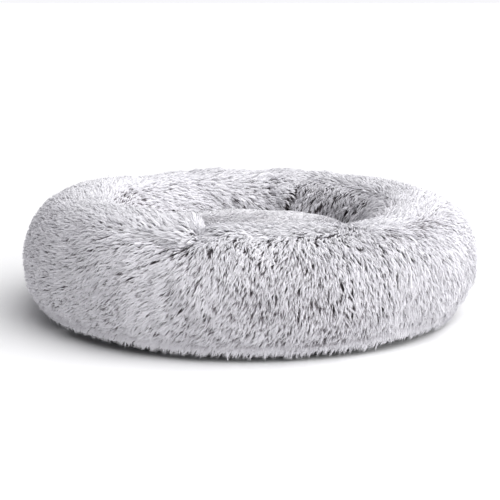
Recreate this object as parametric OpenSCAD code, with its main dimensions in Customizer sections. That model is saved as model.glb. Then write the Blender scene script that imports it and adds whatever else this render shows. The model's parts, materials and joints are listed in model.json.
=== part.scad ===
// Round plush pet bed: a stuffed fur rim around a padded sleeping cushion,
// in a zip-off cover with a non-slip base. Origin: centre of the base, on the floor.

/* [Bed] */
// Outside diameter over the pile
bed_d = 800; // [780:5:830]
// Height of the rim over the pile
rim_h = 212; // [204:2:220]
// Width of the rim's tube over the pile
rim_w = 224; // [212:2:232]
// How square the rim's section is: 2 is an ellipse
rim_square = 2.25; // [2.1:0.05:2.4]

/* [Fur cover] */
// Thickness of the rim's fur, backing and pile together
fur_t = 14; // [12:1:16]
// Height of the fur's lower hem above the floor
hem_h = 20; // [18:0.5:22]
// Height at which the inner wall meets the sleeping panel
inner_seam_h = 135; // [130:1:140]
// Azimuth of the cover's front cross seam
front_seam_az = 253; // [245:1:260]
// Azimuth of the cover's back cross seam
back_seam_az = 67; // [60:1:75]

/* [Cushion] */
// Height of the sleeping panel's crown
crown_h = 163; // [158:1:168]
// Thickness of the sleeping panel, backing and short pile together
plush_t = 8; // [6:0.5:9]

/* [Base] */
// Thickness of the base cloth
base_t = 1.2; // [0.8:0.1:1.6]
// Height of a printed grip dot
dot_h = 0.5; // [0.3:0.1:0.8]
// Diameter of a printed grip dot
dot_d = 6; // [4:0.5:8]
// Distance between neighbouring grip dots
dot_pitch = 32; // [28:1:40]

/* [Zip] */
// Azimuth where the zip's chain starts, at its closed end
zip_from_az = 15; // [10:1:25]
// Angle that the chain spans round the back of the bed
zip_span = 150; // [130:5:155]
// Width of each half of the zip's tape
tape_w = 12.4; // [11:0.2:12.6]
// Length of the slider
slider_l = 11; // [9:0.5:12]
// Length of the pull from its eye to its end
pull_l = 24; // [20:1:30]

/* [Hidden] */
$fn = 48;
gap = 0.3;                          // between pieces that only lie against each other
seam_t = 1.3;                       // thickness of a seam allowance, two plies of backing
liner_t = 0.8;                      // thickness of the inner bags' non-woven cloth
wall_t = 1;                         // thickness of the channel wall's cloth
hem_w = 12;                         // width of the base cloth's turned hem

// The rim's section is a superellipse about (rim_r, mid_h), cut flat by the floor.
rim_r = (bed_d - rim_w) / 2;
mid_h = 0.48 * rim_h;               // height of the rim's widest point
up_h = rim_h - mid_h;               // its reach above that
down_h = mid_h + 5;                 // its reach below, before the floor cuts it

base_top = dot_h + base_t;
liner_in = fur_t + seam_t + 2 * gap;    // depth of the rim liner's outside under the pile

// Half width of the rim's section, d deep under the pile, at height z
function half_w(z, d = 0) =
    let (reach = (z > mid_h ? up_h : down_h) - d,
         share = min(1, abs(z - mid_h) / reach))
    (rim_w / 2 - d) * pow(max(0, 1 - pow(share, rim_square)), 1 / rim_square);

// Height of the rim's section, d deep, at parameter angle t: 0 is outside, 90 the top, 180 inside
function section_z(t, d = 0) =
    mid_h + sign(sin(t)) * (sin(t) > 0 ? up_h - d : down_h - d) * pow(abs(sin(t)), 2 / rim_square);
function section_r(t, d = 0) =
    rim_r + sign(cos(t)) * (rim_w / 2 - d) * pow(abs(cos(t)), 2 / rim_square);
// Angle below the middle at which the section, d deep under the pile, is at height z
function angle_below(z, d = 0) = asin(pow((mid_h - z) / (down_h - d), rim_square / 2));

hem_t = -angle_below(hem_h);
inner_t = 180 - asin(pow((inner_seam_h - mid_h) / up_h, rim_square / 2));
section_steps = 40;

// Points along the section from angle a to angle b, d deep, no lower than floor_z
function arc_points(a, b, d, floor_z = 0) =
    [for (i = [0:section_steps])
        let (t = a + (b - a) * i / section_steps)
        [section_r(t, d), max(floor_z, section_z(t, d))]];
function reversed(list) = [for (i = [len(list) - 1:-1:0]) list[i]];

// A layer of the section between two depths, from angle a to angle b
module layer(a, b, outer_d, inner_d)
    polygon(concat(arc_points(a, b, outer_d), reversed(arc_points(a, b, inner_d))));

// The whole closed section at a depth, flat at floor_z
module full_section(d, floor_z)
    polygon([for (i = [0:2 * section_steps - 1])
        let (t = 180 * i / section_steps)
        [section_r(t, d), max(floor_z, section_z(t, d))]]);

module swept(from_az = 0, span = 360)
    rotate([0, 0, from_az]) rotate_extrude(angle = span, $fn = 144) children();

// ---- Fur cover ----

module fur_panel(from_az, span)
    swept(from_az, span) layer(hem_t, inner_t, 0, fur_t);

module rim_cover_left() color("gainsboro")
    fur_panel(back_seam_az, front_seam_az - back_seam_az);

module rim_cover_right() color("whitesmoke")
    fur_panel(front_seam_az, 360 - front_seam_az + back_seam_az);

// The seam allowances, pressed open, inside the two joins of the fur panels
module cover_cross_seams() color("dimgray") {
    allowance = 2.4;                // degrees that the pressed seam covers
    for (az = [front_seam_az, back_seam_az])
        swept(az - allowance / 2, allowance)
            layer(hem_t + 4, inner_t - 4, fur_t + gap, fur_t + gap + seam_t);
}

// ---- Sleeping cushion ----

panel_r = rim_r - half_w(inner_seam_h) - gap;      // radius of the sleeping panel
edge_z = inner_seam_h + 2;                          // height of the sleeping panel at its edge

// Height of the sleeping panel's surface at radius r
function dome_z(r) = edge_z + (crown_h - edge_z) * pow(1 - pow(r / panel_r, 2), 0.75);
function dome_points(drop, r_end) =
    [for (i = [0:24]) let (r = r_end * i / 24) [r, dome_z(r) - drop]];

module sleeping_panel() color("white")
    swept() polygon(concat(dome_points(0, panel_r), reversed(dome_points(plush_t, panel_r))));

// Radius of the cushion's side at height z, against the channel wall
function side_r(z, inset) = rim_r - half_w(z, fur_t - wall_t) - gap - inset;
side_top = inner_seam_h - 16;
side_low = 24;                      // below this the cushion's side runs straight down
function side_points(inset) =
    [for (i = [0:16])
        let (z = side_top - inset + (side_low - side_top + inset) * i / 16)
        [side_r(z, inset), z]];

module cushion_body(inset) {
    floor_z = base_top + gap + inset;
    polygon(concat(dome_points(plush_t + gap + inset, panel_r - 6 - inset), side_points(inset),
                   [[side_r(side_low, inset), floor_z], [0, floor_z]]));
}

module cushion_liner() color("lavender")
    swept() difference() {
        cushion_body(0);
        cushion_body(liner_t);
    }

module cushion_filling() color("ivory")
    swept() cushion_body(liner_t);

// ---- Inside of the cover ----

// Cloth that closes the rim's channel from the inner seam down to the base
module channel_wall() color("silver") {
    cushion_side = arc_points(inner_t + 8, 180 + angle_below(side_low, fur_t - wall_t), fur_t - wall_t);
    rim_side = arc_points(inner_t + 8, 180 + angle_below(side_low, fur_t), fur_t);
    floor_z = base_top + gap;
    swept() polygon(concat(cushion_side,
        [[cushion_side[section_steps].x, floor_z], [rim_side[section_steps].x, floor_z]],
        reversed(rim_side)));
}

// Binding over the raw edges where the fur, the sleeping panel and the channel wall meet
module inner_seam_tape() color("darkgray")
    swept() translate([panel_r + 2.5, inner_seam_h - 8.5]) square([7.5, 3.5]);

// Binding over the raw edges where the fur's hem and the base cloth meet the zip's tapes
module hem_seam_tape() color("darkgray")
    swept() on_band() translate([tape_w - 6.5, tape_t / 2 + 1.2]) square([6.5, 1.4]);

module base_seam_tape() color("darkgray")
    swept() on_band() translate([-tape_w + 0.5, tape_t / 2 + 1.2]) square([6.5, 1.4]);

module rim_liner() color("lavender")
    swept() difference() {
        full_section(liner_in, base_top + gap);
        full_section(liner_in + liner_t, base_top + gap + liner_t);
    }

module rim_filling() color("ivory")
    swept() full_section(liner_in + liner_t, base_top + gap + liner_t);

// ---- Base ----

flat_r = rim_r + half_w(0) - 0.5;                   // where the base turns up to the hem
hem_r = rim_r + half_w(hem_h);                      // radius of the fur's hem
slope = atan2(hem_h, hem_r - flat_r);               // of the band between base and hem
band_l = norm([hem_r - flat_r, hem_h]);

// Point of the section that is u up the band and depth inside its outer face
function band_point(u, depth = 0) =
    [flat_r + u * cos(slope) - depth * sin(slope), u * sin(slope) + depth * cos(slope)];

// The zip runs along the middle of its tapes, at (zip_r, zip_z) in the section.
zip_u = band_l - tape_w - 1;
zip_r = band_point(zip_u).x;
zip_z = band_point(zip_u).y;

// Section drawn in the band's own frame: +x up the slope, -y out of the bed
module on_band() translate([zip_r, zip_z]) rotate(slope) children();

module base_panel() color("darkslategray") {
    rise = zip_u - tape_w - gap;    // how far the cloth turns up, to the zip's tape
    facing_end = band_l - 0.6;      // and where there is no zip, to the fur's hem
    tape_end = 3.8;                 // degrees from the end of the chain to the facing
    bend = base_top / tan(90 - slope / 2);
    swept() polygon([
        [0, dot_h], [flat_r - hem_w, dot_h], [flat_r - hem_w, 0], [flat_r, 0],
        band_point(rise), band_point(rise, base_t), [flat_r - bend, base_top], [0, base_top]
    ]);
    swept(zip_from_az + zip_span + tape_end, 360 - zip_span - 2 * tape_end)
        polygon([band_point(rise - 1), band_point(facing_end),
                 band_point(facing_end, base_t), band_point(rise - 1, base_t)]);
}

module grip_dots() color("whitesmoke") {
    reach = flat_r - hem_w - dot_d;
    rows = floor(reach / (dot_pitch * sin(60)));
    for (row = [-rows:rows]) {
        y = row * dot_pitch * sin(60);
        shift = row % 2 == 0 ? 0 : dot_pitch / 2;
        columns = floor((sqrt(reach * reach - y * y) + shift) / dot_pitch);
        for (column = [-columns:columns])
            if (norm([column * dot_pitch + shift, y]) < reach)
                translate([column * dot_pitch + shift, y, 0]) cylinder(h = dot_h, d = dot_d, $fn = 24);
    }
}

// ---- Zip ----

tape_t = 0.6;
slit = 0.5;                         // half of the gap between the two coils, where the slider's web runs
coil_w = 2.7;                       // width of one coil
coil_h = 2.2;                       // height of a coil off its tape
coil_lift = 0.1;                    // between tape and coil
end_az = zip_from_az + zip_span;

module tape_half(side)
    swept(zip_from_az - 3.5, zip_span + 7) on_band()
        translate([side > 0 ? slit : -tape_w, -tape_t / 2]) square([tape_w - slit, tape_t]);

module coil_half(side)
    swept(zip_from_az, zip_span) on_band()
        translate([side * (slit + coil_w / 2), -tape_t / 2 - coil_lift - coil_h / 2])
            polygon([for (i = [0:15]) let (t = i * 22.5) [coil_w / 2 * cos(t), coil_h / 2 * sin(t)]]);

module zip_tape_cover_side() color("slategray") tape_half(1);
module zip_tape_base_side() color("slategray") tape_half(-1);
module zip_coil_cover_side() color("gray") coil_half(1);
module zip_coil_base_side() color("gray") coil_half(-1);

function degrees_of(length) = length / zip_r * 180 / PI;

module zip_top_stops() color("silver")
    for (side = [-1, 1])
        swept(zip_from_az - degrees_of(3.2), degrees_of(2.6)) on_band()
            translate([side * 2 - 1.1, -tape_t / 2 - 2.2]) square([2.2, 2.1]);

module zip_bottom_stop() color("silver")
    swept(end_az + degrees_of(0.6), degrees_of(4)) on_band()
        translate([-3, -tape_t / 2 - 2.2]) square([6, 2.1]);

module zip_end_tabs() color("darkslategray")
    for (az = [zip_from_az - degrees_of(19), end_az + degrees_of(6)])
        swept(az, degrees_of(13)) on_band()
            translate([-tape_w + 0.4, -tape_t / 2 - 1.3]) square([2 * tape_w - 1.4, 1.2]);

// Frame of the slider at an azimuth: +x along the zip, +y up the slope, +z out of the bed
module at_slider(az)
    rotate([0, 0, az]) translate([zip_r, 0, zip_z]) rotate([180 - slope, 0, 90]) children();

slider_az = zip_from_az + degrees_of(slider_l / 2 + 1);
plate_w = 9;                        // width of the slider's plates
plate_t = 1.1;                      // thickness of the slider's plates
chain_top = tape_t / 2 + coil_lift + coil_h;        // height of the coils above the tape's middle
plate_z = chain_top + 0.3;          // underside of the slider's outer plate
bar_r = 0.65;                       // radius of the bar that holds the pull
bar_z = plate_z + plate_t + 1.6;    // height of the bar's axis
lug_y = 2.7;                        // half of the distance between the two lugs
eye_clearance = 0.08;               // round the bar, in the eye of the pull

module zip_slider() color("silver") {
    span = degrees_of(slider_l);
    from_az = slider_az - span / 2;
    swept(from_az, span) on_band() union() {
        translate([-plate_w / 2, -plate_z - plate_t]) square([plate_w, plate_t]);
        for (side = [-1, 1])
            translate([side * (plate_w / 2 - 0.4) - 0.4, -plate_z - 0.1]) square([0.8, 1.6]);
        translate([-plate_w / 2, tape_t / 2 + 0.5]) square([plate_w, plate_t]);
        translate([-0.2, -plate_z - 0.1]) square([0.4, plate_z + tape_t / 2 + 0.7]);
    }
    at_slider(slider_az) {
        for (side = [-1, 1])
            translate([-2, side * (lug_y + 0.4) - 0.4, plate_z + plate_t - 0.2])
                cube([4, 0.8, 2.8]);
        translate([0, -lug_y - 0.4, bar_z]) rotate([-90, 0, 0]) cylinder(h = 2 * lug_y + 0.8, r = bar_r);
    }
}

module zip_pull() color("gainsboro") {
    pull_t = 1.3;
    eye_w = 2 * lug_y - 0.6;
    tip_r = 3.6;
    at_slider(slider_az) translate([0, 0, bar_z]) difference() {
        union() {
            translate([0, -eye_w / 2, 0]) rotate([-90, 0, 0]) cylinder(h = eye_w, r = bar_r + 0.75);
            translate([0, -eye_w / 2, -pull_t / 2]) cube([pull_l / 2, eye_w, pull_t]);
            translate([0, 0, -pull_t / 2]) linear_extrude(height = pull_t)
                polygon([[pull_l / 3, -eye_w / 2], [pull_l - tip_r, -tip_r],
                         [pull_l - tip_r, tip_r], [pull_l / 3, eye_w / 2]]);
            translate([pull_l - tip_r, 0, -pull_t / 2]) cylinder(h = pull_t, r = tip_r);
        }
        translate([0, -eye_w, 0]) rotate([-90, 0, 0]) cylinder(h = 2 * eye_w, r = bar_r + eye_clearance);
        translate([pull_l - tip_r, 0, -pull_t]) cylinder(h = 2 * pull_t, r = 1.6);
    }
}

// Blank satin care label, folded once and caught in the hem seam
module care_label() color("white") {
    label_az = 205;
    swept(label_az, degrees_of(28)) on_band()
        for (ply = [0, 1])
            translate([-tape_w - 4, -1.3 - 0.5 * ply]) square([2 * tape_w + 4, 0.3]);
    swept(label_az, degrees_of(28)) on_band()
        translate([-tape_w - 4.3, -1.8]) square([0.31, 0.8]);
}

rim_cover_left();
rim_cover_right();
cover_cross_seams();
sleeping_panel();
inner_seam_tape();
channel_wall();
hem_seam_tape();
base_seam_tape();
base_panel();
grip_dots();
rim_liner();
rim_filling();
cushion_liner();
cushion_filling();
zip_tape_cover_side();
zip_tape_base_side();
zip_coil_cover_side();
zip_coil_base_side();
zip_top_stops();
zip_bottom_stop();
zip_end_tabs();
zip_slider();
zip_pull();
care_label();
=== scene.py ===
"""Round plush pet bed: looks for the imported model.

The rim's skin is a closed tube over the stuffed ring, sewn along its seams and relaxed as cloth.
Every lock of fur is a fan of thin ribbons that grows from that skin along the nap.
Lengths are metres, unless a name or a comment says mm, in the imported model's frame: +Z up, -Y the front.
"""
import json
import math

import bpy
import numpy as np
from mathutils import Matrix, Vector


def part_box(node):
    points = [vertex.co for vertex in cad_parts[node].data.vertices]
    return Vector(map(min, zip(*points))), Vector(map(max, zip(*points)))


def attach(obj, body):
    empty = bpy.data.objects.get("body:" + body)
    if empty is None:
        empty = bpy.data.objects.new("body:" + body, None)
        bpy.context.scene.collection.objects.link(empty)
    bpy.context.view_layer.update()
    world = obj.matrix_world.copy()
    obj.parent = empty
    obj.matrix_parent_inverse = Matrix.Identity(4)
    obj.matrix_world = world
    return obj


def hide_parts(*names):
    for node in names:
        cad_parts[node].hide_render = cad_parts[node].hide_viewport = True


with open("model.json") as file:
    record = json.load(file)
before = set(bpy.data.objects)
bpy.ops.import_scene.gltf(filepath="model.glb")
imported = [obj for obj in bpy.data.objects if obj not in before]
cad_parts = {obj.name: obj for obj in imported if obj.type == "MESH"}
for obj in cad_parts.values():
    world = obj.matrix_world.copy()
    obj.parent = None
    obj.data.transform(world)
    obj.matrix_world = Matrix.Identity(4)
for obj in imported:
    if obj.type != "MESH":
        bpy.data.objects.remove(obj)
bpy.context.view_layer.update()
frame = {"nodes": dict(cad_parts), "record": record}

rng = np.random.default_rng(20)


# ---------------------------------------------------------------- sizes taken from the frame

rim_low, rim_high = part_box("rim_cover_left")
RIM_OUT = -rim_low[0]                # outside radius over the pile
RIM_TOP = rim_high[2]                # height of the rim over the pile
HEM_Z = rim_low[2]                   # height of the fur's lower hem
HALF_W = 0.112                       # half of the rim tube's width over the pile
RIM_R = RIM_OUT - HALF_W             # radius of the tube's middle
MID_Z = 0.48 * RIM_TOP               # height of the tube's widest point
REACH_UP = RIM_TOP - MID_Z           # of the section above that point
REACH_DOWN = MID_Z + 0.005           # and below it, before the base cuts it off
SQUARE = 2.25                        # exponent of the tube's section
PILE = 0.013                         # depth of the skin under the pile's surface

panel_low, panel_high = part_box("sleeping_panel")
PANEL_R = panel_high[0]
CROWN_Z = panel_high[2]              # top of the cushion's crown, over the plush
PANEL_EDGE_Z = panel_low[2] + 0.008  # height of the plush at the panel's edge
INNER_SEAM_Z = PANEL_EDGE_Z - 0.002  # where the rim's inner wall meets the panel
BASE_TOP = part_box("base_panel")[0][2] + 0.0017

FLAT_R = 0.32816                     # where the base turns up to the hem
HEM_R = 0.36664                      # radius of the fur's hem
ZIP_R, ZIP_Z = 0.354754, 0.013821    # middle of the zip, half way up the band between base and hem
ZIP_SLOPE = math.atan2(HEM_Z, HEM_R - FLAT_R)
ZIP_FROM, ZIP_SPAN = 15.0, 150.0     # azimuths of the zip's chain, in degrees

FRONT_SEAM = 253.0                   # azimuths of the fur's two cross seams, in degrees
BACK_SEAM = 67.0

MM = 0.001                           # a millimetre


# ---------------------------------------------------------------- small helpers

def smooth(edge0, edge1, x):
    """0 below edge0, 1 above edge1, smooth between."""
    s = np.clip((x - edge0) / (edge1 - edge0), 0, 1)
    return s * s * (3 - 2 * s)


def turn(az, centre):
    """Signed angle from centre to az, in degrees, from -180 to 180."""
    return (az - centre + 180) % 360 - 180


def bell(az, centre, width):
    """1 at centre, and near 0 beyond twice the width on either side, in degrees."""
    return np.exp(-(turn(az, centre) / width) ** 2)


def unit(v):
    """Vectors scaled to length 1."""
    return v / np.maximum(np.linalg.norm(v, axis=-1, keepdims=True), 1e-12)


def new_mesh(name, verts, faces, mats):
    """A smooth mesh object from vertex positions and faces that all have the same number of corners."""
    mesh = bpy.data.meshes.new(name)
    faces = np.asarray(faces, dtype=np.int32)
    corners = faces.shape[1]
    mesh.vertices.add(len(verts))
    mesh.vertices.foreach_set("co", np.asarray(verts, dtype=np.float32).ravel())
    mesh.loops.add(faces.size)
    mesh.loops.foreach_set("vertex_index", faces.ravel())
    mesh.polygons.add(len(faces))
    mesh.polygons.foreach_set("loop_start", np.arange(0, faces.size, corners, dtype=np.int32))
    mesh.polygons.foreach_set("use_smooth", np.ones(len(faces), dtype=bool))
    mesh.update(calc_edges=True)
    obj = bpy.data.objects.new(name, mesh)
    bpy.context.scene.collection.objects.link(obj)
    for mat in mats:
        mesh.materials.append(mat)
    return obj


def grid_faces(columns, rows, wrap_columns=True, wrap_rows=False):
    """Quads of a grid whose vertex (column, row) has index column * rows + row."""
    last_column = columns if wrap_columns else columns - 1
    last_row = rows if wrap_rows else rows - 1
    c, r = np.meshgrid(np.arange(last_column), np.arange(last_row), indexing="ij")
    c1 = (c + 1) % columns
    r1 = (r + 1) % rows
    quads = np.stack([c * rows + r, c1 * rows + r, c1 * rows + r1, c * rows + r1], axis=-1)
    return quads.reshape(-1, 4)


# ---------------------------------------------------------------- the rim's shape

def section(t, depth):
    """Radius and height of the plain tube's section, depth under the pile, at angle t in degrees."""
    c = np.cos(np.radians(t))
    s = np.sin(np.radians(t))
    reach = np.where(s > 0, REACH_UP, REACH_DOWN) - depth
    r = RIM_R + np.sign(c) * (HALF_W - depth) * np.abs(c) ** (2 / SQUARE)
    z = MID_Z + np.sign(s) * reach * np.abs(s) ** (2 / SQUARE)
    return r, z


def angle_at(z, outside):
    """Section angle of the pile's surface at height z, on the outside or the inside of the tube."""
    reach = REACH_UP if z > MID_Z else REACH_DOWN
    angle = math.degrees(math.asin((abs(z - MID_Z) / reach) ** (SQUARE / 2)))
    angle = angle if z > MID_Z else -angle
    return angle if outside else 180 - angle


HEM_T = angle_at(HEM_Z, outside=True)
INNER_T = angle_at(INNER_SEAM_Z, outside=False)
BASE_GAP = 0.0004                    # between the base and the stuffed rim on it
MM_PER_AZ = 5.2                      # along the crest, for each degree of azimuth
MM_PER_T = 2.0                       # round the tube, for each degree of section angle


def fold(path, depth, width, fade=0.4, swell=0, lean=0):
    """A fold through (azimuth, section angle) points, in degrees; the other lengths are in mm.

    fade: share of its length over which it fades out; swell: how far the fur on its right stands over it (on
    its left, if negative); lean: how far that fur leans across it.
    """
    return {"path": path, "depth": depth, "width": width, "fade": fade, "swell": swell, "lean": lean}


FOLDS = [
    fold([(247.5, 165), (248.5, 130), (250, 108), (252.5, 90), (254.5, 77),       # front seam and the lobe
          (254.5, 67), (252, 60), (248, 56), (243, 55), (236, 57)], 13, 8, swell=11, lean=8),
    fold([(351, 95), (355, 78), (359, 62), (360, 45)], 6, 9, fade=0.5),           # right shoulder
    fold([(68.5, 168), (68.5, 145), (68, 115)], 15, 7, fade=0.5, swell=-5, lean=5),    # back seam
    fold([(98, 165), (99, 150), (103, 138)], 8, 8),                               # dents of the inner wall
    fold([(165, 155), (162, 138), (158, 118)], 15, 8),
    fold([(180, 150), (176, 128), (172, 108)], 13, 8),
    fold([(20, 165), (24, 140), (27, 125)], 8, 9),
    fold([(300, 165), (299, 140), (297, 122)], 8, 9),
    fold([(213, 160), (214, 138), (216, 125)], 7, 8),
]

# How uneven the rim is: rises of its crest, and widenings, as (mm, azimuth, width of the bell in degrees).
RISES = [(-3, 272, 22), (-13, 322, 26), (8, 230, 18), (9, 168, 22), (-12, 253.5, 6), (-3, 20, 25),
         (7, 356, 12)]
WIDENINGS = [(14, 325, 24), (3, 20, 30), (-3, 235, 16)]


def folded(az, t):
    """How far in the folds draw the surface at each (az, t), in mm, and the moved (az, t)."""
    drawn = np.zeros(az.shape)
    new_az = az.copy()
    new_t = t.copy()
    for one in FOLDS:
        path = np.array(one["path"], dtype=float)
        origin = path[0, 0]
        u = turn(az, origin) * MM_PER_AZ
        v = t * MM_PER_T
        pu = turn(path[:, 0], origin) * MM_PER_AZ
        pv = path[:, 1] * MM_PER_T
        nearest = np.full(az.shape, 1e9)
        along = np.zeros(az.shape)
        side_u = np.zeros(az.shape)
        side_v = np.zeros(az.shape)
        on_right = np.zeros(az.shape, dtype=bool)
        for k in range(len(path) - 1):
            du = pu[k + 1] - pu[k]
            dv = pv[k + 1] - pv[k]
            share = np.clip(((u - pu[k]) * du + (v - pv[k]) * dv) / (du * du + dv * dv), 0, 1)
            away_u = u - pu[k] - share * du
            away_v = v - pv[k] - share * dv
            gap = np.hypot(away_u, away_v)
            closer = gap < nearest
            nearest = np.where(closer, gap, nearest)
            along = np.where(closer, (k + share) / (len(path) - 1), along)
            side_u = np.where(closer, dv / math.hypot(du, dv), side_u)
            side_v = np.where(closer, -du / math.hypot(du, dv), side_v)
            on_right = np.where(closer, away_u * dv - away_v * du > 0, on_right)
        strength = 1 - smooth(1 - one["fade"], 1.0, along)
        raised = on_right if one["swell"] > 0 else ~on_right
        width = np.full(az.shape, float(one["width"]))
        if one["swell"]:
            width = np.where(raised, 0.6 * width, 1.7 * width)
            over = (1 - np.exp(-(nearest / width) ** 2)) * np.exp(-(nearest / (7 * width)) ** 2) * raised
            drawn -= strength * abs(one["swell"]) * over
            lean = strength * one["lean"] * np.exp(-(nearest / (2.5 * width)) ** 2) * raised
            towards = -1 if one["swell"] > 0 else 1
            new_az += towards * lean * side_u / MM_PER_AZ
            new_t += towards * lean * side_v / MM_PER_T
        valley = np.exp(-(nearest / width) ** 1.5)
        shoulder = 0.25 * np.exp(-((nearest - 2.6 * width) / (1.3 * width)) ** 2)
        drawn += strength * one["depth"] * (valley - shoulder)
    return drawn, new_az, new_t


def rim_point(az, t, depth):
    """Surface of the slumped rim, depth under the pile, at azimuth az and section angle t in degrees."""
    drawn, az, t = folded(az, t)
    r, z = section(t, depth)
    top = np.clip(np.sin(np.radians(t)), 0, 1) ** 1.4
    inside = np.clip(-np.cos(np.radians(t)), 0, 1)
    rise = sum(height * bell(az, centre, width) for height, centre, width in RISES)
    widening = sum(height * bell(az, centre, width) for height, centre, width in WIDENINGS)
    z = z + MM * rise * top
    r = r + MM * widening * (0.4 * top + 0.6 * inside)
    away_r = r - RIM_R
    away_z = z - MID_Z
    kept = 1 - MM * drawn / np.hypot(away_r, away_z)
    r = RIM_R + away_r * kept
    z = np.maximum(MID_Z + away_z * kept, BASE_TOP + BASE_GAP)
    a = np.radians(az)
    return np.stack([r * np.cos(a), r * np.sin(a), z], axis=-1)


class Skin:
    """A grid of surface points that wraps round the ring: columns run in azimuth, rows in section angle."""

    def __init__(self, points, az, t, wrap_rows):
        self.points = points
        self.az = az
        self.t = t
        self.wrap_rows = wrap_rows
        along = np.roll(points, -1, axis=0) - np.roll(points, 1, axis=0)
        if wrap_rows:
            across = np.roll(points, -1, axis=1) - np.roll(points, 1, axis=1)
        else:
            across = np.gradient(points, axis=1)
        normal = np.cross(along, across)
        self.along = unit(along)
        self.across = unit(across)
        self.normal = unit(normal)
        self.area = np.linalg.norm(normal, axis=-1)

    def moved(self, depth):
        """The same skin, depth further in."""
        return Skin(self.points - depth * self.normal, self.az, self.t, self.wrap_rows)

    def mesh(self, name, mats):
        columns, rows = self.points.shape[:2]
        faces = grid_faces(columns, rows, wrap_rows=self.wrap_rows)
        return new_mesh(name, self.points.reshape(-1, 3), faces, mats)

    def scatter(self, count, weight):
        """count random places, as (column, row, share, share), with chances weight * area."""
        chance = (self.area * weight).ravel()
        cell = rng.choice(chance.size, size=count, p=chance / chance.sum())
        columns, rows = self.area.shape
        column = cell // rows + rng.random(count) - 0.5
        row = cell % rows + rng.random(count) - 0.5
        return column % columns, np.clip(row, 0, rows - 1)

    def at(self, field, place):
        """field at scattered places, between its grid points."""
        column, row = place
        columns, rows = field.shape[:2]
        c0 = np.floor(column).astype(int)
        r0 = np.floor(row).astype(int)
        fc = (column - c0)[(...,) + (None,) * (field.ndim - 2)]
        fr = (row - r0)[(...,) + (None,) * (field.ndim - 2)]
        c0 = c0 % columns
        c1 = (c0 + 1) % columns
        r1 = (r0 + 1) % rows if self.wrap_rows else np.minimum(r0 + 1, rows - 1)
        near = field[c0, r0] * (1 - fr) + field[c0, r1] * fr
        far = field[c1, r0] * (1 - fr) + field[c1, r1] * fr
        return near * (1 - fc) + far * fc


CLOTH_SETTINGS = {"quality": 5, "mass": 0.3, "tension_stiffness": 15, "compression_stiffness": 15,
                  "bending_stiffness": 0.5, "use_pressure": True}
CLOTH_FRAMES = 20


def relaxed(skin, pinned, pressure, slack, cap):
    """How far each point of the skin moves as inflated cloth, and no further than cap.

    pinned: how firmly each point is held, 0 to 1; slack: how much longer the cloth is than its shape.
    """
    columns, rows = skin.points.shape[:2]
    obj = skin.mesh("cloth_pass", [])
    group = obj.vertex_groups.new(name="pin")
    weights = pinned.ravel()
    for level in np.unique(weights[weights > 0]):
        members = np.nonzero(weights == level)[0]
        group.add(members.tolist(), float(level), "REPLACE")
    cloth = obj.modifiers.new("cloth", "CLOTH")
    for key, value in CLOTH_SETTINGS.items():
        setattr(cloth.settings, key, value)
    cloth.settings.uniform_pressure_force = pressure
    cloth.settings.shrink_min = -slack
    cloth.settings.vertex_group_mass = "pin"
    cloth.settings.effector_weights.gravity = 0
    scene = bpy.context.scene
    for frame_number in range(1, CLOTH_FRAMES + 1):
        scene.frame_set(frame_number)
    shaped = obj.evaluated_get(bpy.context.evaluated_depsgraph_get()).to_mesh()
    result = np.empty(columns * rows * 3, dtype=np.float32)
    shaped.vertices.foreach_get("co", result)
    bpy.data.objects.remove(obj)
    scene.frame_set(1)
    shift = result.reshape(columns, rows, 3) - skin.points
    length = np.linalg.norm(shift, axis=-1, keepdims=True)
    return shift * np.minimum(1, cap / np.maximum(length, 1e-9))


def without_slow_waves(field, count):
    """A field over the ring, less its mean and its first count waves round the ring."""
    waves = np.fft.rfft(field, axis=0)
    waves[:count + 1] = 0
    return np.fft.irfft(waves, len(field), axis=0)


DRIFT_WAVES = 9


def drift(points, size, seed):
    """Smooth noise over points, about -1 to 1, that changes over lengths of about size."""
    waves = np.random.default_rng(seed)
    total = np.zeros(points.shape[:-1])
    for _ in range(DRIFT_WAVES):
        direction = unit(waves.normal(size=3))
        wavelength = size * waves.uniform(1.4, 3.2)
        total += np.sin(points @ direction * (2 * math.pi / wavelength) + waves.uniform(0, 2 * math.pi))
    return total / math.sqrt(DRIFT_WAVES)


# ---------------------------------------------------------------- fur

def ribbons(spine, side, widths, tone, shade):
    """Vertices, triangles and UVs of tapering ribbons.

    spine: n x k x 3 centre points; side: n x 3 direction across; widths: n x (k - 1) full widths;
    tone: n values for u; shade: n x k values for v, from root to tip.
    """
    n, k = spine.shape[:2]
    half = 0.5 * widths[:, :, None] * side[:, None, :]
    left = spine[:, :-1] - half
    right = spine[:, :-1] + half
    pairs = np.stack([left, right], axis=2).reshape(n, 2 * (k - 1), 3)
    verts = np.concatenate([pairs, spine[:, -1:]], axis=1)
    per = 2 * k - 1
    corners = []
    for step in range(k - 2):
        a = 2 * step
        corners += [(a, a + 1, a + 3), (a, a + 3, a + 2)]
    corners.append((2 * k - 4, 2 * k - 3, 2 * k - 2))
    corners = np.array(corners)
    tris = (np.arange(n) * per)[:, None, None] + corners[None]
    v = np.concatenate([np.repeat(shade[:, :-1], 2, axis=1), shade[:, -1:]], axis=1)
    uv = np.stack([np.broadcast_to(tone[:, None], v.shape), v], axis=-1)
    return verts.reshape(-1, 3), tris.reshape(-1, 3), uv.reshape(-1, 2)


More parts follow.
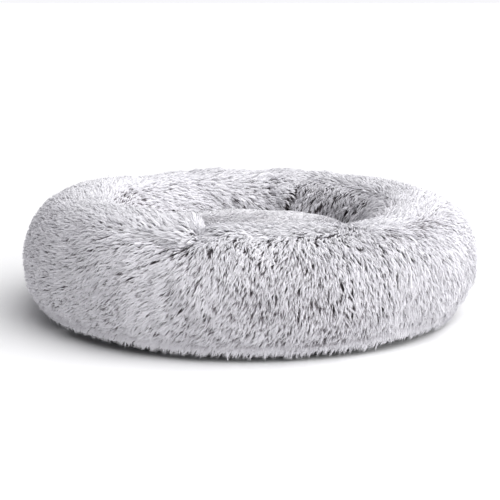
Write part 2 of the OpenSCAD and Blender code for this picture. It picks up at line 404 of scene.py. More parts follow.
def fur_object(name, spine, side, widths, facing, tone, shade, mat):
    """Ribbons as one mesh, shaded as if each faced along facing."""
    verts, tris, uv = ribbons(spine, side, widths, tone, shade)
    normals = np.repeat(facing, 2 * spine.shape[1] - 1, axis=0)
    a, b, c = (verts[tris[:, k]] for k in range(3))
    turned = (np.cross(b - a, c - a) * normals[tris[:, 0]]).sum(1) < 0
    tris[turned] = tris[turned][:, ::-1]
    obj = new_mesh(name, verts, tris, [mat])
    layer = obj.data.uv_layers.new(name="OFBake")
    layer.data.foreach_set("uv", uv[tris.ravel()].astype(np.float32).ravel())
    attribute = obj.data.attributes.new("custom_normal", "FLOAT_VECTOR", "POINT")
    attribute.data.foreach_set("vector", normals.astype(np.float32).ravel())
    obj.data.update()
    return obj


STEPS = np.array([0.0, 0.33, 0.68, 1.0])         # points along each hair, from its root to its tip
TAPER = np.array([0.8, 1.0, 0.75])               # its width at all of them but the tip
LOWEST = 0.003                       # height of the lowest hair
BAND_GAP = 0.003                     # between the low hair and the band with the zip
BAND_Z = 0.034                       # height up to which the hair is kept off the band
WELL_R = 0.3                         # radius inside which there is no band
TUCK_R = 0.361                       # radius to which the lowest hair is tucked under the rim
TUCK_Z = 0.03                        # height up to which it is tucked
TUCK_SLOPE = 1.1                     # how much further out the hair may be for each length of height


def tucked(spine):
    """Hair near the floor, pushed out of the zip's band and in under the rim."""
    spine[..., 2] = np.maximum(spine[..., 2], LOWEST)
    out = np.hypot(spine[..., 0], spine[..., 1])
    z = spine[..., 2]
    most = np.where(z < TUCK_Z, TUCK_R + TUCK_SLOPE * (z - LOWEST), 1)
    band = np.minimum(FLAT_R + (HEM_R - FLAT_R) / HEM_Z * z, HEM_R) + BAND_GAP
    least = band * (z < BAND_Z) * (out > WELL_R) * (STEPS > 0.2)
    spine[..., :2] *= (np.clip(out, least, most) / out)[..., None]
    return spine


def grow(centre, normal, nap, bend, hairs, length, height, droop, spread, width, dark):
    """Locks of hair, as fur_object takes them: spine, side, widths, facing, tone and shade.

    centre, normal, nap: root of each lock, away from the skin and along the lock; bend: curvature of the skin
    along each lock; hairs: hairs in a lock; length, height: of each lock; droop: how far each lock's tip
    hangs, as a share of its length; spread: radius of a lock's root; width: of a hair; dark: how much more
    of each lock, from its root, is dark.
    """
    n = len(centre)
    nap = unit(nap - (nap * normal).sum(-1, keepdims=True) * normal)
    across = np.cross(normal, nap)
    curl = rng.normal(0, 0.16, n)
    tone = rng.random(n)

    rise = np.sin(STEPS * math.pi * 0.6)
    offset = rng.normal(0, 0.55, (n, hairs, 2)) * spread
    hair_len = length[:, None] * rng.uniform(0.8, 1.08, (n, hairs))
    hair_high = height[:, None] * rng.uniform(0.78, 1.1, (n, hairs))
    sway = rng.normal(0, 0.07, (n, hairs)) + curl[:, None]
    gather = 1 - 0.78 * STEPS ** 1.2

    forward = hair_len[:, :, None] * (STEPS - 0.08 * STEPS ** 2)
    sideways = offset[:, :, 1:] * gather + sway[:, :, None] * hair_len[:, :, None] * STEPS ** 2
    upward = hair_high[:, :, None] * rise - 0.5 * bend[:, None, None] * forward ** 2
    forward = forward + offset[:, :, :1]
    spine = (centre[:, None, None, :]
             + forward[..., None] * nap[:, None, None, :]
             + sideways[..., None] * across[:, None, None, :]
             + upward[..., None] * normal[:, None, None, :])
    spine[..., 2] -= (droop[:, None] * hair_len)[..., None] * STEPS ** 2
    spine = tucked(spine)

    roll = rng.normal(0, 0.6, (n, hairs, 1))
    side = np.cos(roll) * across[:, None, :] + np.sin(roll) * normal[:, None, :]
    rounding = 0.55 * offset[:, :, 1:] / spread
    facing = unit(normal[:, None, :] + rounding * across[:, None, :]
                  - 0.35 * np.sin(roll) * across[:, None, :])
    widths = width * rng.uniform(0.75, 1.2, (n, hairs, 1)) * TAPER
    shade = STEPS + rng.normal(0, 0.05, (n, hairs, 1)) - dark[:, None, None]
    hair_tone = 0.7 * tone[:, None] + 0.3 * rng.random((n, hairs))
    flat = n * hairs
    points = len(STEPS)
    return (spine.reshape(flat, points, 3), side.reshape(flat, 3), widths.reshape(flat, points - 1),
            facing.reshape(flat, 3), np.clip(hair_tone, 0.01, 0.99).reshape(flat),
            np.clip(shade, 0.01, 0.99).reshape(flat, points))


# ---------------------------------------------------------------- materials

class Nodes:
    """A material under construction: each method adds a node and returns its output socket."""

    def __init__(self, name, roughness, specular=0.5, metallic=0.0, sheen=0.0):
        self.mat = bpy.data.materials.new(name)
        self.mat.use_nodes = True
        self.tree = self.mat.node_tree
        self.shader = self.tree.nodes["Principled BSDF"]
        self.shader.inputs["Roughness"].default_value = roughness
        self.shader.inputs["Specular IOR Level"].default_value = specular
        self.shader.inputs["Metallic"].default_value = metallic
        self.shader.inputs["Sheen Weight"].default_value = sheen

    def link(self, source, target):
        self.tree.links.new(source, target)

    def add(self, kind):
        return self.tree.nodes.new(kind)

    def position(self, scale=(1, 1, 1)):
        coordinates = self.add("ShaderNodeTexCoord")
        mapping = self.add("ShaderNodeMapping")
        mapping.inputs["Scale"].default_value = scale
        self.link(coordinates.outputs["Object"], mapping.inputs["Vector"])
        return mapping.outputs["Vector"]

    def noise(self, size, vector=None, detail=3.0):
        node = self.add("ShaderNodeTexNoise")
        node.inputs["Scale"].default_value = 1 / size
        node.inputs["Detail"].default_value = detail
        self.link(vector or self.position(), node.inputs["Vector"])
        return node.outputs["Fac"]

    def bands(self, size, axis, vector, distortion=0.0):
        node = self.add("ShaderNodeTexWave")
        node.bands_direction = axis
        node.inputs["Scale"].default_value = math.pi / 10 / size
        node.inputs["Distortion"].default_value = distortion
        self.link(vector, node.inputs["Vector"])
        return node.outputs["Fac"]

    def math(self, operation, a, b):
        node = self.add("ShaderNodeMath")
        node.operation = operation
        for socket, value in zip(node.inputs, (a, b)):
            if isinstance(value, (int, float)):
                socket.default_value = value
            else:
                self.link(value, socket)
        return node.outputs["Value"]

    def ramp(self, factor, stops):
        node = self.add("ShaderNodeValToRGB")
        points = node.color_ramp.elements
        while len(points) < len(stops):
            points.new(0.5)
        for point, (place, colour) in zip(points, stops):
            point.position = place
            point.color = (*colour, 1)
        self.link(factor, node.inputs["Fac"])
        return node.outputs["Color"]

    def colour(self, socket):
        self.link(socket, self.shader.inputs["Base Color"])

    def bump(self, height, distance, strength=1.0):
        node = self.add("ShaderNodeBump")
        node.inputs["Distance"].default_value = distance
        node.inputs["Strength"].default_value = strength
        self.link(height, node.inputs["Height"])
        self.link(node.outputs["Normal"], self.shader.inputs["Normal"])


def tint(colour, factor):
    """A colour made lighter or darker by factor."""
    return tuple(min(1.0, c * factor) for c in colour)


def pile_material(name, stops):
    """Fur: colour from root to tip along v, a little lighter or darker from lock to lock along u."""
    n = Nodes(name, roughness=0.7, specular=0.25)
    uv = n.add("ShaderNodeUVMap")
    uv.uv_map = "OFBake"
    parts = n.add("ShaderNodeSeparateXYZ")
    n.link(uv.outputs["UV"], parts.inputs["Vector"])
    along = n.ramp(parts.outputs["Y"], stops)
    low, high = TONES
    tone = n.ramp(parts.outputs["X"], [(0.0, (low, low, low)), (1.0, (high, high, high))])
    mix = n.add("ShaderNodeMix")
    mix.data_type = "RGBA"
    mix.blend_type = "MULTIPLY"
    mix.inputs["Factor"].default_value = 1.0
    n.link(along, mix.inputs["A"])
    n.link(tone, mix.inputs["B"])
    n.colour(mix.outputs["Result"])
    return n.mat


WEAR = 0.12                          # how much lighter worn cloth is


def woven(name, colour, thread, relief, roughness=0.85, sheen=0.0):
    """Plain weave: threads over and under, with slubs, soft blotches and a little relief."""
    n = Nodes(name, roughness=roughness, specular=0.3, sheen=sheen)
    place = n.position()
    warp = n.bands(2 * thread, "X", place, 0.4)
    weft = n.bands(2 * thread, "Y", place, 0.4)
    cross = n.math("MULTIPLY", warp, weft)
    blotch = n.noise(0.05)
    slub = n.noise(4 * thread, detail=4.0)
    mixed = n.math("ADD", n.math("MULTIPLY", cross, 0.55), n.math("MULTIPLY", slub, 0.25))
    mixed = n.math("ADD", mixed, n.math("MULTIPLY", blotch, 0.2))
    n.colour(n.ramp(mixed, [(0.2, tint(colour, 1 - 3 * WEAR)), (0.45, colour),
                            (0.8, tint(colour, 1 + WEAR))]))
    n.bump(n.math("ADD", cross, n.math("MULTIPLY", slub, 0.4)), relief)
    return n.mat


def knitted(name, colour):
    """Backing of the pile: fine level ribs of stitches."""
    n = Nodes(name, roughness=0.9, specular=0.2)
    place = n.position()
    ribs = n.bands(0.0016, "Z", place, 2.0)
    fluff = n.noise(0.003, detail=5.0)
    mixed = n.math("MULTIPLY", ribs, fluff)
    n.colour(n.ramp(mixed, [(0.0, tint(colour, 0.6)), (0.5, colour), (1.0, tint(colour, 1.3))]))
    n.bump(fluff, 0.0008)
    return n.mat


def fibrous(name, colour, size, relief):
    """Non-woven cloth and loose filling: matted fibres."""
    n = Nodes(name, roughness=0.9, specular=0.2)
    fibres = n.noise(size, n.position(scale=(1, 0.35, 1)), detail=6.0)
    clumps = n.noise(size * 9)
    mixed = n.math("ADD", n.math("MULTIPLY", fibres, 0.6), n.math("MULTIPLY", clumps, 0.4))
    n.colour(n.ramp(mixed, [(0.3, tint(colour, 0.78)), (0.6, colour), (0.85, tint(colour, 1.05))]))
    n.bump(fibres, relief)
    return n.mat


def moulded(name, colour, roughness, grain, metallic=0.0):
    """Moulded plastic, printed rubber and cast metal: even, with fine grain and handling marks."""
    n = Nodes(name, roughness=roughness, metallic=metallic)
    fine = n.noise(grain, detail=4.0)
    marks = n.noise(grain * 12, n.position(scale=(1, 0.3, 1)))
    mixed = n.math("ADD", n.math("MULTIPLY", fine, 0.4), n.math("MULTIPLY", marks, 0.6))
    n.colour(n.ramp(mixed, [(0.25, tint(colour, 0.75)), (0.5, colour), (0.8, tint(colour, 1.12))]))
    n.bump(fine, grain * 0.15, 0.4)
    return n.mat


TONES = (0.86, 1.0)                  # darkest and lightest lock
FUR = pile_material("long_pile_fur", [
    (0.00, (0.060, 0.050, 0.055)),
    (0.27, (0.110, 0.094, 0.103)),
    (0.43, (0.440, 0.415, 0.450)),
    (0.56, (0.850, 0.835, 0.880)),
    (1.00, (0.950, 0.942, 0.975))])
PLUSH = pile_material("short_pile_plush", [
    (0.00, (0.380, 0.365, 0.380)),
    (0.25, (0.700, 0.682, 0.710)),
    (0.45, (0.920, 0.910, 0.940)),
    (1.00, (0.960, 0.952, 0.980))])
BACKING = knitted("fur_backing", (0.120, 0.105, 0.114))
PLUSH_BACKING = knitted("plush_backing", (0.60, 0.585, 0.61))
MATERIALS = {
    "fur_backing": BACKING,
    "seam_binding": woven("seam_binding", (0.19, 0.19, 0.21), 0.0007, 0.0003),
    "lining_cloth": woven("lining_cloth", (0.36, 0.36, 0.39), 0.0006, 0.0002),
    "liner_nonwoven": fibrous("liner_nonwoven", (0.80, 0.80, 0.78), 0.003, 0.0004),
    "fibre_filling": fibrous("fibre_filling", (0.88, 0.88, 0.86), 0.006, 0.003),
    "base_oxford": woven("base_oxford", (0.040, 0.043, 0.050), 0.0011, 0.0005),
    "grip_pvc": moulded("grip_pvc", (0.52, 0.52, 0.55), 0.45, 0.0008),
    "zip_tape": woven("zip_tape", (0.085, 0.090, 0.105), 0.0005, 0.0002),
    "zip_coil": moulded("zip_coil", (0.14, 0.145, 0.165), 0.38, 0.0006),
    "zip_stops": moulded("zip_stops", (0.62, 0.63, 0.65), 0.32, 0.0007, metallic=1.0),
    "zip_slider_metal": moulded("zip_slider_metal", (0.50, 0.51, 0.53), 0.28, 0.0009, metallic=1.0),
    "label_satin": woven("label_satin", (0.80, 0.80, 0.80), 0.0003, 0.0001, roughness=0.45, sheen=0.3),
}
THREAD = woven("sewing_thread", (0.30, 0.30, 0.33), 0.0003, 0.0001)


def dress_frame():
    """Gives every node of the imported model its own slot's material."""
    slots = {part["node"]: part["material_slot"] for part in frame["record"]["subparts"]}
    for name, obj in frame["nodes"].items():
        mat = MATERIALS.get(slots[name], BACKING)
        obj.data.materials.clear()
        obj.data.materials.append(mat)


# ---------------------------------------------------------------- the rim

CLOTH_GRID = (216, 72)               # columns and rows of the skin that is relaxed as cloth
RIM_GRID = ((384, 128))


def azimuth(share):
    """Azimuth at a share of the way round the grid, whose columns stand closer at the two cross seams."""
    angle = 360 * share
    return (angle + math.degrees(0.2) * np.sin(np.radians(2 * (angle - 160)))) % 360


def section_angle(share):
    """Section angle at a share of the way round the tube, from its lowest line outwards and up."""
    return 360 * share - 90


def plain_rim(grid):
    """The rim's skin before the cloth pass."""
    columns, rows = grid
    az, t = np.meshgrid(azimuth(np.arange(columns) / columns), section_angle(np.arange(rows) / rows),
                        indexing="ij")
    return Skin(rim_point(az, t, PILE), az, t, True)


def wrinkles(grid):
    """How far cloth tension and stuffing swell the plain rim, on a grid; its slow waves are left out."""
    skin = plain_rim(CLOTH_GRID)
    free = (skin.t > HEM_T + 4) & (skin.t < INNER_T - 4)
    seam = np.minimum(np.abs(turn(skin.az, FRONT_SEAM)), np.abs(turn(skin.az, BACK_SEAM)))
    pinned = np.where(free, np.where(seam < 1, 0.8, 0.0), 1.0)
    shift = relaxed(skin, pinned, pressure=4.0, slack=0.06, cap=0.022)
    calm = 0.4 + 0.6 * smooth(105, 130, skin.t)
    swell = calm * without_slow_waves((shift * skin.normal).sum(-1), 4)
    place = np.meshgrid(*[np.arange(fine) * coarse / fine for fine, coarse in zip(grid, CLOTH_GRID)],
                        indexing="ij")
    return skin.at(swell, place)


def rim_skin():
    """The stuffed rim's skin, the backing of the fur: slumped shape, wrinkles and small lumps."""
    skin = plain_rim(RIM_GRID)
    skin = Skin(skin.points + wrinkles(RIM_GRID)[..., None] * skin.normal, skin.az, skin.t, True)
    lumps = 0.0014 * drift(skin.points, 0.075, 4) + 0.0010 * drift(skin.points, 0.035, 5)
    free = smooth(HEM_T, HEM_T + 12, skin.t) * (1 - smooth(INNER_T - 12, INNER_T, skin.t))
    return Skin(skin.points + (lumps * free)[..., None] * skin.normal, skin.az, skin.t, True)


PARTING = 302.0                      # azimuth at which the fur on the right panel's crest parts

# How the fur lies on the outside, from BACK_SEAM on: clockwise along the rim is 0, straight down is 90.
LIE_AZ = [67, 200, 225, 240, 250, 257, 265, 272, 280, 300, 320, 340, 427]
LIE_TURN = [18, 15, 20, 25, 33, 45, 58, 75, 90, 97, 105, 108, 105]

# The crease under the left panel's lobe: section angle at each azimuth.
CREASE_AZ = [236, 243, 248, 252, 254.5]
CREASE_T = [54, 52, 53, 58, 66]
LOBE_HEADING = -3.65                 # of the fur on the lobe, in radians: back along the rim, and inwards


def over_crease(az, t):
    """How far above the crease under the lobe a place is, in degrees of section angle."""
    return t - np.interp(az, CREASE_AZ, CREASE_T)


def nap_direction(skin, place):
    """Which way the fur lies at scattered places.

    Also the azimuth and section angle of each place, whether it is on the left panel, and how near it is
    to where the fur parts.
    """
    az = azimuth(place[0] / skin.az.shape[0])
    t = section_angle(place[1] / skin.az.shape[1])
    round_az = BACK_SEAM + (az - BACK_SEAM) % 360
    left = round_az < FRONT_SEAM
    lie = np.radians(np.interp(round_az, LIE_AZ, LIE_TURN))
    on_inside = smooth(102, 124, t)
    on_outside = 1 - smooth(52, 80, t)
    on_crest = 1 - on_inside - on_outside
    crest_along = np.where(left, -1.0, np.tanh((round_az - PARTING) / 6))
    parted = (1 - np.abs(crest_along)) * on_crest
    inside_along = np.where(left, -1.0, -0.15)
    inside_across = np.where(left, 0.42, 1.0)
    lobe = left * smooth(212, 240, az) * smooth(0, 16, over_crease(az, t)) * (1 - smooth(112, 126, t))
    parting_down = 0.8 * parted * np.where(t < 100, -1.0, 1.0)
    along_part = -np.cos(lie) * on_outside + crest_along * on_crest + inside_along * on_inside
    across_part = -np.sin(lie) * on_outside - 0.1 * on_crest + inside_across * on_inside
    heading = np.arctan2(across_part + parting_down, along_part)
    heading = np.where(heading > 0, heading - 2 * math.pi, heading)
    heading = heading * (1 - lobe) + LOBE_HEADING * lobe
    along_part, across_part = np.cos(heading), np.sin(heading)

    points = skin.at(skin.points, place)
    normal = unit(skin.at(skin.normal, place))
    nap = (along_part[:, None] * skin.at(skin.along, place)
           + across_part[:, None] * skin.at(skin.across, place))
    nap = unit(nap - (nap * normal).sum(-1, keepdims=True) * normal)
    swirl = 0.22 * drift(points, 0.10, 11) + 0.16 * drift(points, 0.045, 12) + rng.normal(0, 0.13, len(az))
    side = np.cross(normal, nap)
    nap = nap * np.cos(swirl)[:, None] + side * np.sin(swirl)[:, None]
    return nap, az, t, left, parted


HAIRS = 5                            # in each lock of the rim
LOCKS = 64000
PIECE_HAIRS = 39000                  # in each object, so that its mesh stays under 200,000 triangles


def darkness(az, t, left, parted):
    """How much of the hair's dark root shows, over the rim: most on the front and the right inner wall. Mixed
    in are painted shade on the right inner wall, low on the left inner wall, in its dents, in the back seam's
    valley and in the crease under the lobe, and painted highlights on the crest and on the roll beside the back
    seam.
    """
    front = bell(az, 285, 34) * (1 - smooth(48, 74, t))
    low_front = bell(az, 262, 60) * (1 - smooth(-10, 40, t))
    front_left = bell(az, 220, 38) * (1 - smooth(50, 80, t))
    right_shoulder = bell(az, 324, 13) * bell(t, 71, 12)
    # The right panel's inner wall: more dark root shows there, and painted shade darkens it as well.
    inner_right_root_and_shade = np.where(left, 0.0, smooth(112, 128, t)) * bell(az, 32, 45)
    # Low on the left panel's inner wall, by the plush: painted shade. Higher up, at azimuths below 130, less
    # dark root shows.
    inner_left = np.where(left, smooth(140, 158, t), 0.0) - 0.3 * left * bell(t, 118, 14) * (az < 130)
    # Painted shade in the dents of the left inner wall, round azimuth 170.
    inner_far_left_shade = bell(az, 170, 24) * smooth(104, 122, t)
    # At the back seam: painted shade in its valley and a painted highlight on the roll just beside it.
    valley = bell(az, 67.5, 2.6) - 0.6 * bell(az, 73, 2.5)
    # The crest is made lighter. Less dark root shows there, and the lightening is also a painted highlight from
    # above, most on the front crest.
    crest = bell(t, 90 - 7 * bell(az, 278, 24), 18 + 5 * bell(az, 278, 24))
    crest *= 1 + 0.7 * bell(az, 278, 24) + 0.4 * bell(az, 100, 45) - 0.8 * bell(az, 355, 34)
    lobe = bell(az, 244, 12) * smooth(-1.5, 1.5, over_crease(az, t))
    # Painted shade in the crease under the lobe.
    under_lobe_shade = bell(az, 250.5, 4.5) * bell(over_crease(az, t), -2, 2.5)
    return (-0.24 + 0.20 * front + 0.06 * low_front + 0.08 * front_left + 0.27 * inner_right_root_and_shade
            + 0.20 * inner_left + 0.26 * inner_far_left_shade + 0.34 * right_shoulder
            + 0.60 * valley * smooth(108, 122, t) + 0.20 * under_lobe_shade
            - 0.44 * crest - 0.36 * lobe - 0.40 * parted)


def pile(name, hair, mat):
    """Hair as a few objects, none with too many triangles."""
    total = len(hair[0])
    parts = math.ceil(total / PIECE_HAIRS)
    pieces = []
    for k in range(parts):
        part = slice(total * k // parts, total * (k + 1) // parts)
        pieces.append(fur_object(f"{name}_{k + 1:02d}", *[values[part] for values in hair], mat))
    return pieces


LOW_FUR = (0.020, 0.042)             # heights of the roots between which the fur stops hanging straight down
TUBE_BEND_R = 0.105                  # radius of the tube's section


def rim_fur(skin):
    """The rim's whole pile: locks scattered over its skin, sorted round it."""
    weight = ((skin.t > HEM_T) & (skin.t < INNER_T + 3)) * (1 + 1.2 * (skin.t < HEM_T + 10))
    place = skin.scatter(LOCKS, weight)
    order = np.argsort(place[0])
    place = (place[0][order], place[1][order])
    nap, az, t, left, parted = nap_direction(skin, place)
    points = skin.at(skin.points, place)
    normal = unit(skin.at(skin.normal, place))
    radius = np.hypot(points[:, 0], points[:, 1])
    outward = points * [1, 1, 0] / radius[:, None]
    share_along = (nap * skin.at(skin.along, place)).sum(-1) ** 2
    bend = share_along * (normal * outward).sum(-1) / radius + (1 - share_along) / TUBE_BEND_R

    low = (1 - smooth(*LOW_FUR, points[:, 2])) * (t < 90)
    normal = unit(normal + (2.0 * low)[:, None] * outward)
    nap = unit(nap + (2.0 * low)[:, None] * np.array([0, 0, -1.0]))
    n = len(nap)
    scale = 1.0
    length = rng.normal(0.0205, 0.0025, n) * (1 + 0.10 * drift(points, 0.10, 21))
    height = rng.uniform(0.0055, 0.0105, n) * (1 + 0.06 * drift(points, 0.05, 22)) + 0.008 * low
    # The lowest hair on the outside is made lighter: painted light that lifts the rim's shaded lower edge.
    dark = darkness(az, t, left, parted) + 0.05 * drift(points, 0.06, 23) - 0.36 * low
    hair = grow(points, normal, nap, bend * (1 - low), HAIRS, length, height, droop=0.08 + 0.1 * low,
                spread=0.0018 * scale, width=0.00095 * scale, dark=dark)
    return pile("rim_pile", hair, FUR)


def build_rim():
    """Cover, liner and filling from one skin, at three depths, and the pile on it."""
    skin = rim_skin()
    cover = skin.mesh("rim_cover_skin", [BACKING])
    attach(cover, "bed")
    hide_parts("rim_cover_left", "rim_cover_right", "cover_cross_seams")
    for depth, name, slot in ((0.0022, "rim_liner_bag", "liner_nonwoven"),
                              (0.0034, "rim_fibre", "fibre_filling")):
        inner = skin.moved(depth).mesh(name, [MATERIALS[slot]])
        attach(inner, "bed")
        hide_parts("rim_liner" if slot == "liner_nonwoven" else "rim_filling")
    for piece in rim_fur(skin):
        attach(piece, "bed")


# ---------------------------------------------------------------- the sleeping cushion

CUSHION_COLUMNS, CUSHION_ROWS = 144, 40
PLUSH_DEPTH = 0.0055                 # depth of the panel's cloth under the pile's surface
PLUSH_CLOTH = 0.0012                 # thickness of that cloth
CUSHION_TUCK = 0.004                 # how far the panel runs on under the rim's inner wall
PLUSH_HAIRS = 6                      # in each lock of the plush
PLUSH_LOCKS = 12800


def cushion_height(share):
    """Height of the plush's surface at a share of the panel's radius."""
    return PANEL_EDGE_Z + (CROWN_Z - PANEL_EDGE_Z) * np.clip(1 - share ** 2, 0, 1) ** 0.5


def panel_skin():
    """Top of the panel's cloth: crowned and rippled, its rows running from its edge to its middle."""
    az = np.arange(CUSHION_COLUMNS) * 360 / CUSHION_COLUMNS
    share = 1 - np.arange(CUSHION_ROWS) / (CUSHION_ROWS - 1)
    share = np.sin(share * math.pi / 2)
    az, share = np.meshgrid(az, share, indexing="ij")
    a = np.radians(az)
    r = share * (PANEL_R + CUSHION_TUCK) + 0.0005
    top = np.stack([r * np.cos(a), r * np.sin(a), cushion_height(share) - PLUSH_DEPTH], axis=-1)
    ripple = 0.0022 * drift(top, 0.09, 31) * (1 - share ** 6) + 0.0012 * drift(top, 0.045, 32)
    top[..., 2] += ripple * (1 - share ** 8) - 0.001
    skin = Skin(top, az, share, False)
    if skin.normal[0, 0, 2] < 0:
        skin.normal = -skin.normal
    return skin


def thick_panel(name, skin, mats):
    """The panel's cloth as a closed sheet: top, underside, outer edge and the small hub at its middle."""
    columns, rows = skin.points.shape[:2]
    under = skin.points.copy()
    under[..., 2] -= PLUSH_CLOTH
    verts = np.concatenate([skin.points.reshape(-1, 3), under.reshape(-1, 3)])
    upper = grid_faces(columns, rows)
    shift = columns * rows
    outer = np.arange(columns) * rows
    next_outer = np.roll(outer, -1)
    inner = outer + rows - 1
    next_inner = next_outer + rows - 1
    edge = np.stack([outer, outer + shift, next_outer + shift, next_outer], axis=-1)
    hub = np.stack([inner, next_inner, next_inner + shift, inner + shift], axis=-1)
    return new_mesh(name, verts, np.concatenate([upper, upper[:, ::-1] + shift, edge, hub]), mats)


def build_cushion():
    """The plush panel and its pile."""
    skin = panel_skin()
    panel = thick_panel("sleeping_panel_plush", skin, [PLUSH_BACKING])
    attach(panel, "bed")
    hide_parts("sleeping_panel")

    place = skin.scatter(PLUSH_LOCKS, np.ones(skin.az.shape))
    points = skin.at(skin.points, place)
    n = len(points)
    lean = 1.2 * drift(points, 0.12, 41) + rng.normal(0, 0.35, n)
    nap = np.stack([np.cos(lean), np.sin(lean) - 0.4, np.zeros(n)], axis=-1)
    scale = 1.0
    normal = unit(skin.at(skin.normal, place))
    hair = grow(points, normal, nap, bend=np.full(n, 1 / 0.6), hairs=PLUSH_HAIRS,
                length=rng.normal(0.011, 0.0015, n), height=rng.uniform(0.004, 0.0072, n),
                droop=np.zeros(n), spread=0.0021 * scale, width=0.0009 * scale,
                dark=0.05 * drift(points, 0.05, 42))
    for piece in pile("sleeping_panel_pile", hair, PLUSH):
        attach(piece, "bed")


# ---------------------------------------------------------------- the zip and the visible stitches

def band_point(az, u, v):
    """A point of the sloping band at azimuth az in degrees: u up the slope from the zip's middle, v inwards."""
    r = ZIP_R + u * math.cos(ZIP_SLOPE) - v * math.sin(ZIP_SLOPE)
    z = ZIP_Z + u * math.sin(ZIP_SLOPE) + v * math.cos(ZIP_SLOPE)
    a = np.radians(az)
    return np.stack([r * np.cos(a), r * np.sin(a), z + 0 * a], axis=-1)


def tubes(name, paths, hints, radii, sides, mat):
    """Round tubes along paths (tubes x points x 3), as one mesh; hints point away from each path."""
    count, points = paths.shape[:2]
    tangent = unit(np.gradient(paths, axis=1))
    first = unit(hints - (hints * tangent).sum(-1, keepdims=True) * tangent)
    second = np.cross(tangent, first)
    angle = np.arange(sides) * 2 * math.pi / sides
    ring = first[:, :, None] * np.cos(angle)[:, None] + second[:, :, None] * np.sin(angle)[:, None]
    verts = (paths[:, :, None] + radii[..., None, None] * ring).reshape(-1, 3)
    quads = grid_faces(points, sides, wrap_columns=False, wrap_rows=True)
    faces = (np.arange(count) * points * sides)[:, None, None] + quads[None]
    return new_mesh(name, verts, faces.reshape(-1, 4), [mat])


COIL_PITCH = 0.0016
COIL_WIRE = 0.00033                  # radius of the coil's wire
COIL_MIDDLE = 0.00173                # from the chain's middle line to the middle of each coil
COIL_HALF_WIDTH = 0.00114
COIL_RISE = 0.0015                   # from the tapes out to the middle of the coils
COIL_HALF_HEIGHT = 0.00077
STITCH_PITCH = 0.0036
THREAD_SHOWN = 0.72                  # share of the pitch along which the thread shows
THREAD_R = 0.00020


def build_coil(name, side, node):
    """One half of the zip's chain: a flattened spiral of wire, half a turn out of step with the other."""
    turns = round(math.radians(ZIP_SPAN) * ZIP_R / COIL_PITCH)
    per_turn = 8
    step = np.arange(turns * per_turn + 1) / per_turn
    phase = 2 * math.pi * step + (math.pi if side > 0 else 0)
    u = side * (COIL_MIDDLE + COIL_HALF_WIDTH * np.cos(phase))
    v = -COIL_RISE + COIL_HALF_HEIGHT * np.sin(phase)
    az = ZIP_FROM + ZIP_SPAN * step / turns
    path = band_point(az, u, v)
    hint = band_point(az, u + side * 0.001 * np.cos(phase), v + 0.001 * np.sin(phase)) - path
    radii = np.full(len(path), COIL_WIRE)
    radii[[0, -1]] *= 0.3
    coil = tubes(name, path[None], hint[None], radii[None], 5, MATERIALS["zip_coil"])
    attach(coil, "bed")
    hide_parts(node)


def stitches(rows):
    """Paths of the stitches in rows, each (u, v, first azimuth, span): short lengths of thread."""
    paths = []
    for u, v, first, span in rows:
        count = int(math.radians(span) * ZIP_R / STITCH_PITCH)
        along = (np.arange(count)[:, None] + THREAD_SHOWN * np.linspace(0, 1, 5)) / count
        raised = v - 0.00012 * np.array([0, 0.8, 1, 0.8, 0])
        wander = 0.00012 * rng.normal(size=(count, 1))
        paths.append(band_point(first + span * along, u + wander, raised + 0 * along))
    return np.concatenate(paths)


def build_stitches():
    """Thread along the zip's tapes and, where there is no zip, along the turned-up edge of the base."""
    on_tapes = [(u, -0.00042, ZIP_FROM - 3, ZIP_SPAN + 6)
                for u in (-0.0116, -0.0052, 0.0052, 0.0116)]
    on_base = [(u, -0.00012, ZIP_FROM + ZIP_SPAN + 4.5, 201) for u in (-0.024, 0.0085)]
    for name, rows in (("zip_tape_stitches", on_tapes), ("base_edge_stitches", on_base)):
        paths = stitches(rows)
        radii = np.broadcast_to(THREAD_R * np.array([0.35, 0.95, 1.0, 0.95, 0.35]), paths.shape[:2])
        hints = np.broadcast_to(np.array([0, 0, 1.0]), paths.shape)
        piece = tubes(name, paths, hints, radii, 5, THREAD)
        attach(piece, "bed")


# ---------------------------------------------------------------- stage, light and camera

def build_stage():
    """A plain pale floor."""
    bpy.ops.mesh.primitive_plane_add(size=40, location=(0, 0, -0.0002))
    floor = bpy.context.object
    floor.name = "studio_floor"
    n = Nodes("studio_floor", roughness=0.9, specular=0.1)
    n.colour(n.ramp(n.noise(3.0), [(0.0, (0.85, 0.85, 0.855)), (1.0, (0.88, 0.88, 0.885))]))
    floor.data.materials.append(n.mat)


def sun_light(name, place, strength, spread):
    """A very soft light from the direction of place; spread is its width in degrees."""
    data = bpy.data.lights.new(name, "SUN")
    data.energy = strength
    data.angle = math.radians(spread)
    light = bpy.data.objects.new(name, data)
    bpy.context.scene.collection.objects.link(light)
    aim(light, place, (0, 0, 0))


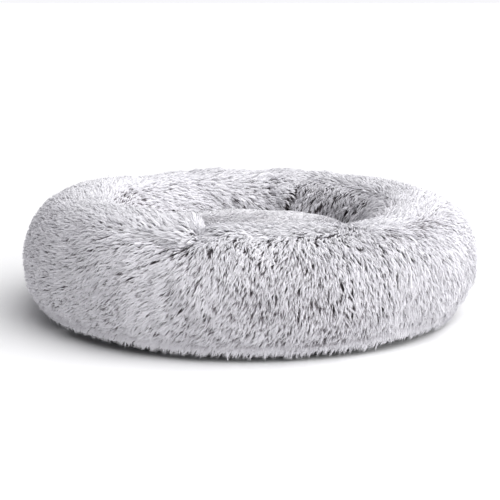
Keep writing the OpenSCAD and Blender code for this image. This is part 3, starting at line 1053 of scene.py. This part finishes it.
def aim(obj, place, target):
    """Puts a light or a camera at place, looking at target."""
    offset = np.array(place, dtype=float) - np.array(target, dtype=float)
    flat = math.hypot(offset[0], offset[1])
    obj.location = place
    obj.rotation_euler = (math.atan2(flat, offset[2]), 0, math.atan2(offset[0], -offset[1]))


ROOM_LIGHT = 0.345                   # strength of the room as it lights the bed
ROOM_SEEN = 0.97                     # and as the camera sees it
KEY_FROM = (0.57, -0.42, 0.77)       # direction of the key light: from the right, in front and above
KEY_STRENGTH, KEY_WIDTH = 4.0, 76


def build_light():
    """One very soft light from the right and above, in a pale room that looks brighter than it lights."""
    world = bpy.data.worlds.new("studio")
    world.use_nodes = True
    tree = world.node_tree
    background = tree.nodes["Background"]
    background.inputs["Color"].default_value = (0.97, 0.965, 1.0, 1)
    seen = tree.nodes.new("ShaderNodeLightPath").outputs["Is Camera Ray"]
    strength = tree.nodes.new("ShaderNodeMapRange")
    strength.inputs["To Min"].default_value = ROOM_LIGHT
    strength.inputs["To Max"].default_value = ROOM_SEEN
    tree.links.new(seen, strength.inputs["Value"])
    tree.links.new(strength.outputs["Result"], background.inputs["Strength"])
    bpy.context.scene.world = world
    sun_light("key", KEY_FROM, KEY_STRENGTH, KEY_WIDTH)


CAMERA_UP = 11.5                     # degrees above the horizon
CAMERA_FAR = 2.5                     # from its target
CAMERA_TARGET = (0, 0, 0.105)
CAMERA_LENS = 101.3


def build_camera():
    """The photograph's view of the bed, from its front."""
    data = bpy.data.cameras.new("camera")
    data.lens = CAMERA_LENS
    camera = bpy.data.objects.new("camera", data)
    bpy.context.scene.collection.objects.link(camera)
    up = math.radians(CAMERA_UP)
    place = (0, -CAMERA_FAR * math.cos(up), CAMERA_TARGET[2] + CAMERA_FAR * math.sin(up))
    aim(camera, place, CAMERA_TARGET)
    bpy.context.scene.camera = camera
    bpy.context.scene.view_settings.view_transform = "Standard"


dress_frame()
build_rim()
build_cushion()
build_coil("zip_coil_upper", 1, "zip_coil_cover_side")
build_coil("zip_coil_lower", -1, "zip_coil_base_side")
build_stitches()
build_stage()
build_light()
build_camera()
